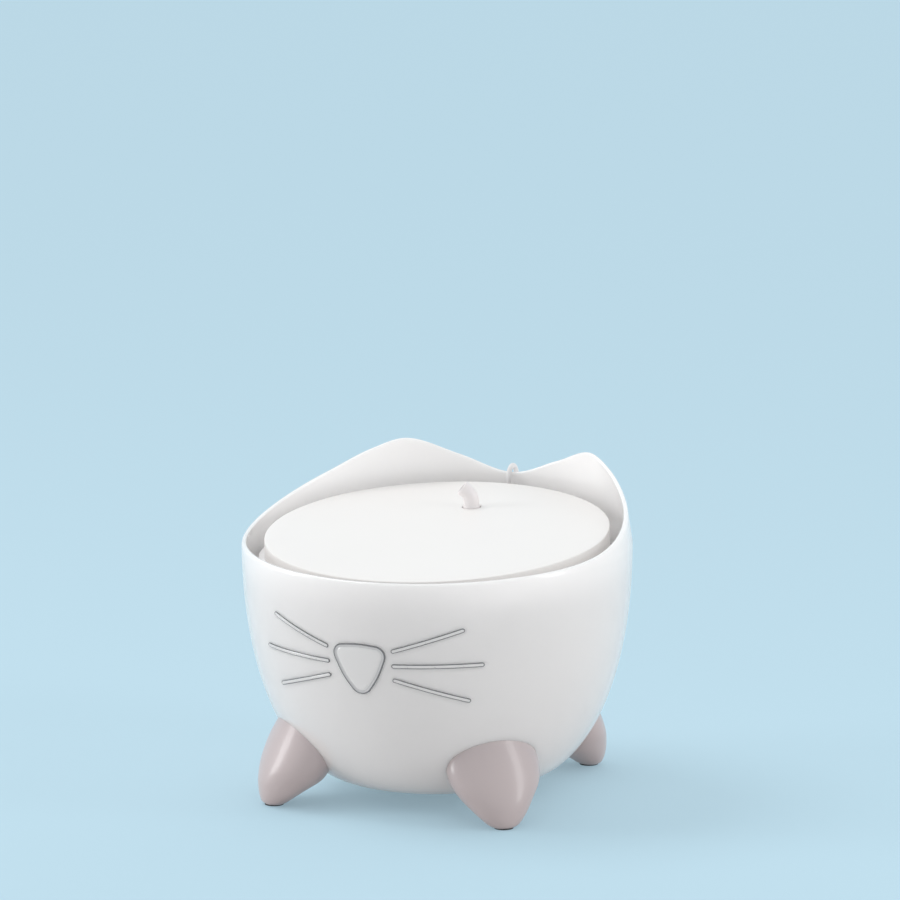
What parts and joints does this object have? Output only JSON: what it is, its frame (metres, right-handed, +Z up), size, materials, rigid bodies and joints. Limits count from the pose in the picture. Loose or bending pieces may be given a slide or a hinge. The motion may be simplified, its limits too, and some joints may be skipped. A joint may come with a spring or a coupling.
{
  "type": "pet water fountain",
  "caption": "Footed bowl with ear tips, pump, clear riser tube, filter tray, filter pad, sloping lid and bent spout that lift off one another.",
  "frame": {"origin": "on the table under the middle of the footed bowl's bounding box", "axes": "+Z up; the face with nose and whiskers looks along -Y"},
  "size_m": [0.226, 0.2912, 0.1861],
  "materials": {
    "bowl_plastic": "glossy moulded white",
    "window_grey": "smooth clear-grey window",
    "window_clear": "smooth clear window",
    "foot_taupe": "satin taupe",
    "pad_rubber": "matt",
    "screw_steel": "plain",
    "pump_plastic": "satin light grey",
    "pump_white": "satin off-white",
    "red_lens": "clear red",
    "clear_lens": "clear",
    "magnet_grey": "bonded ferrite",
    "core_steel": "laminated",
    "coil_copper": "varnished copper wire",
    "cup_rubber": "soft clear-grey",
    "tube_clear": "clear plastic",
    "tray_plastic": "satin white",
    "sheet_fabric": "non-woven",
    "pouch_fabric": "thin non-woven",
    "carbon_grey": "packed granules",
    "resin_peach": "packed granules",
    "lid_plastic": "satin white",
    "spout_plastic": "smooth white",
    "cord_white": "smooth white jacket",
    "plug_plastic": "satin white",
    "plug_steel": "plated"
  },
  "bodies": {
    "bowl": {"bowl_shell": "bowl_plastic", "nose_window": "window_grey", "whisker_windows": "window_clear", "foot_front_left": "foot_taupe", "foot_front_right": "foot_taupe", "foot_rear_left": "foot_taupe", "foot_rear_right": "foot_taupe", "foot_pads": "pad_rubber", "foot_screws": "screw_steel", "cord_run": "cord_white", "cord_coil": "cord_white", "cord_tail": "cord_white", "coil_tie": "plug_plastic", "plug_body": "plug_plastic", "plug_shell": "plug_steel"},
    "pump": {"pump_housing": "pump_plastic", "pump_end_panel": "pump_white", "inlet_cover": "pump_white", "shaft_bushes": "pump_white", "stator_core": "core_steel", "stator_coils": "coil_copper", "led_lens": "red_lens", "sensor_lens": "clear_lens", "suction_cups": "cup_rubber", "cord_gland": "pump_white"},
    "impeller": {"impeller": "pump_white", "rotor_magnet": "magnet_grey", "impeller_shaft": "screw_steel"},
    "knob": {"flow_knob": "pump_white"},
    "tube": {"riser_tube": "tube_clear"},
    "tray": {"filter_tray": "tray_plastic", "spout_cup": "tray_plastic"},
    "ring": {"pull_ring": "tray_plastic"},
    "filter": {"filter_sheet": "sheet_fabric", "filter_pouch": "pouch_fabric", "filter_carbon": "carbon_grey", "filter_resin": "resin_peach"},
    "lid": {"lid": "lid_plastic"},
    "spout": {"spout": "spout_plastic"}
  },
  "joints": [
    {"name": "pump_lift", "type": "slide", "parent": "bowl", "child": "pump", "axis": [0, 0, 1], "range_m": [0, 0.1334]},
    {"name": "tube_lift", "type": "slide", "parent": "pump", "child": "tube", "axis": [0, 0, 1], "range_m": [0, 0.0082]},
    {"name": "tray_lift", "type": "slide", "parent": "tube", "child": "tray", "axis": [0, 0, 1], "range_m": [0, 0.0117]},
    {"name": "filter_lift", "type": "slide", "parent": "tray", "child": "filter", "axis": [0, 0, 1], "range_m": [0, 0.0555]},
    {"name": "lid_lift", "type": "slide", "parent": "filter", "child": "lid", "axis": [0, 0, 1], "range_m": [0, 0.0142]},
    {"name": "spout_lift", "type": "slide", "parent": "lid", "child": "spout", "axis": [0, 0, 1], "range_m": [0, 0.0292]},
    {"name": "impeller_spin", "type": "hinge", "parent": "pump", "child": "impeller", "pos_m": [-0.00764, 0.04236, 0.03355], "axis": [-0.7071, -0.7071, 0], "continuous": true},
    {"name": "knob_turn", "type": "hinge", "parent": "pump", "child": "knob", "pos_m": [-0.01259, 0.01902, 0.0406], "axis": [-0.7071, -0.7071, 0], "range_deg": [0, 180]},
    {"name": "ring_fold", "type": "hinge", "parent": "tray", "child": "ring", "pos_m": [-0.00569, 0.06279, 0.1417], "axis": [0.9135, 0.4067, 0], "range_deg": [0, 90]}
  ],
  "couplings": [
    {"joint": "ring_fold", "follows": "filter_lift", "rad_per_m": 28.298}
  ]
}
